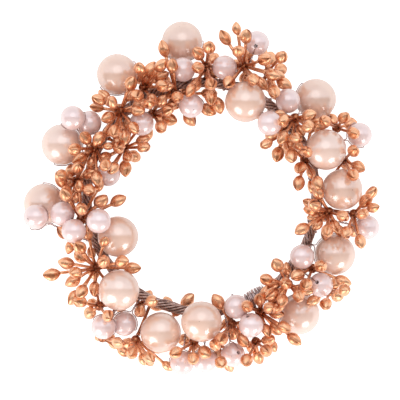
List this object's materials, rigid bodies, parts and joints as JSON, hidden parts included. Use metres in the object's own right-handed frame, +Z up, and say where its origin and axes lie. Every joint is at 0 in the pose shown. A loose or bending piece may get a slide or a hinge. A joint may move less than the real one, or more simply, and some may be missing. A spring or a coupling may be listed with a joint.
{
  "type": "candle ring",
  "caption": "Wreath-like candle ring of pearl beads on wire stems and gilt seed sprays, bound with silver wire round a steel hoop that leaves a free way for a pillar candle.",
  "frame": {"origin": "middle of the ring on the plane that it rests on, under the hoop's centre", "axes": "+Z up through the candle's way, +X to the right and +Y to the top as the ring is seen from above in the picture"},
  "size_m": [0.1742, 0.1731, 0.045],
  "materials": {
    "cream_pearl": "pearl lacquer, cream with a peach cast",
    "blush_pearl": "pearl lacquer, pale blush white",
    "gilt": "satin rose-gold metallic paint on moulded plastic",
    "silver_wire": "bright drawn craft wire",
    "hoop_steel": "drawn steel wire"
  },
  "bodies": {
    "root": {"binding_wire": "silver_wire", "hoop_wire": "hoop_steel", "large_pearl_01": "cream_pearl", "large_pearl_02": "cream_pearl", "large_pearl_03": "cream_pearl", "large_pearl_04": "cream_pearl", "large_pearl_05": "cream_pearl", "large_pearl_06": "cream_pearl", "large_pearl_07": "cream_pearl", "large_pearl_08": "cream_pearl", "large_pearl_09": "cream_pearl", "large_pearl_10": "cream_pearl", "large_pearl_11": "cream_pearl", "large_pearl_12": "cream_pearl", "large_pearl_13": "cream_pearl", "large_pearl_14": "cream_pearl", "large_pearl_wires": "silver_wire", "seed_spray_east": "gilt", "seed_spray_east_lower": "gilt", "seed_spray_east_upper": "gilt", "seed_spray_north": "gilt", "seed_spray_north_east": "gilt", "seed_spray_north_left": "gilt", "seed_spray_north_west": "gilt", "seed_spray_south": "gilt", "seed_spray_south_east": "gilt", "seed_spray_south_east_inner": "gilt", "seed_spray_south_left": "gilt", "seed_spray_south_right": "gilt", "seed_spray_south_west": "gilt", "seed_spray_south_west_lower": "gilt", "seed_spray_west": "gilt", "seed_spray_west_upper": "gilt", "small_pearl_01": "blush_pearl", "small_pearl_02": "blush_pearl", "small_pearl_03": "blush_pearl", "small_pearl_04": "blush_pearl", "small_pearl_05": "blush_pearl", "small_pearl_06": "blush_pearl", "small_pearl_07": "blush_pearl", "small_pearl_08": "blush_pearl", "small_pearl_09": "blush_pearl", "small_pearl_10": "blush_pearl", "small_pearl_11": "blush_pearl", "small_pearl_12": "blush_pearl", "small_pearl_13": "blush_pearl", "small_pearl_14": "blush_pearl", "small_pearl_15": "blush_pearl", "small_pearl_16": "blush_pearl", "small_pearl_17": "blush_pearl", "small_pearl_18": "blush_pearl", "small_pearl_19": "blush_pearl", "small_pearl_20": "blush_pearl", "small_pearl_21": "blush_pearl", "small_pearl_22": "blush_pearl", "small_pearl_23": "blush_pearl", "small_pearl_24": "blush_pearl", "small_pearl_25": "blush_pearl", "small_pearl_wires": "silver_wire", "stem_strands": "silver_wire"}
  },
  "joints": []
}
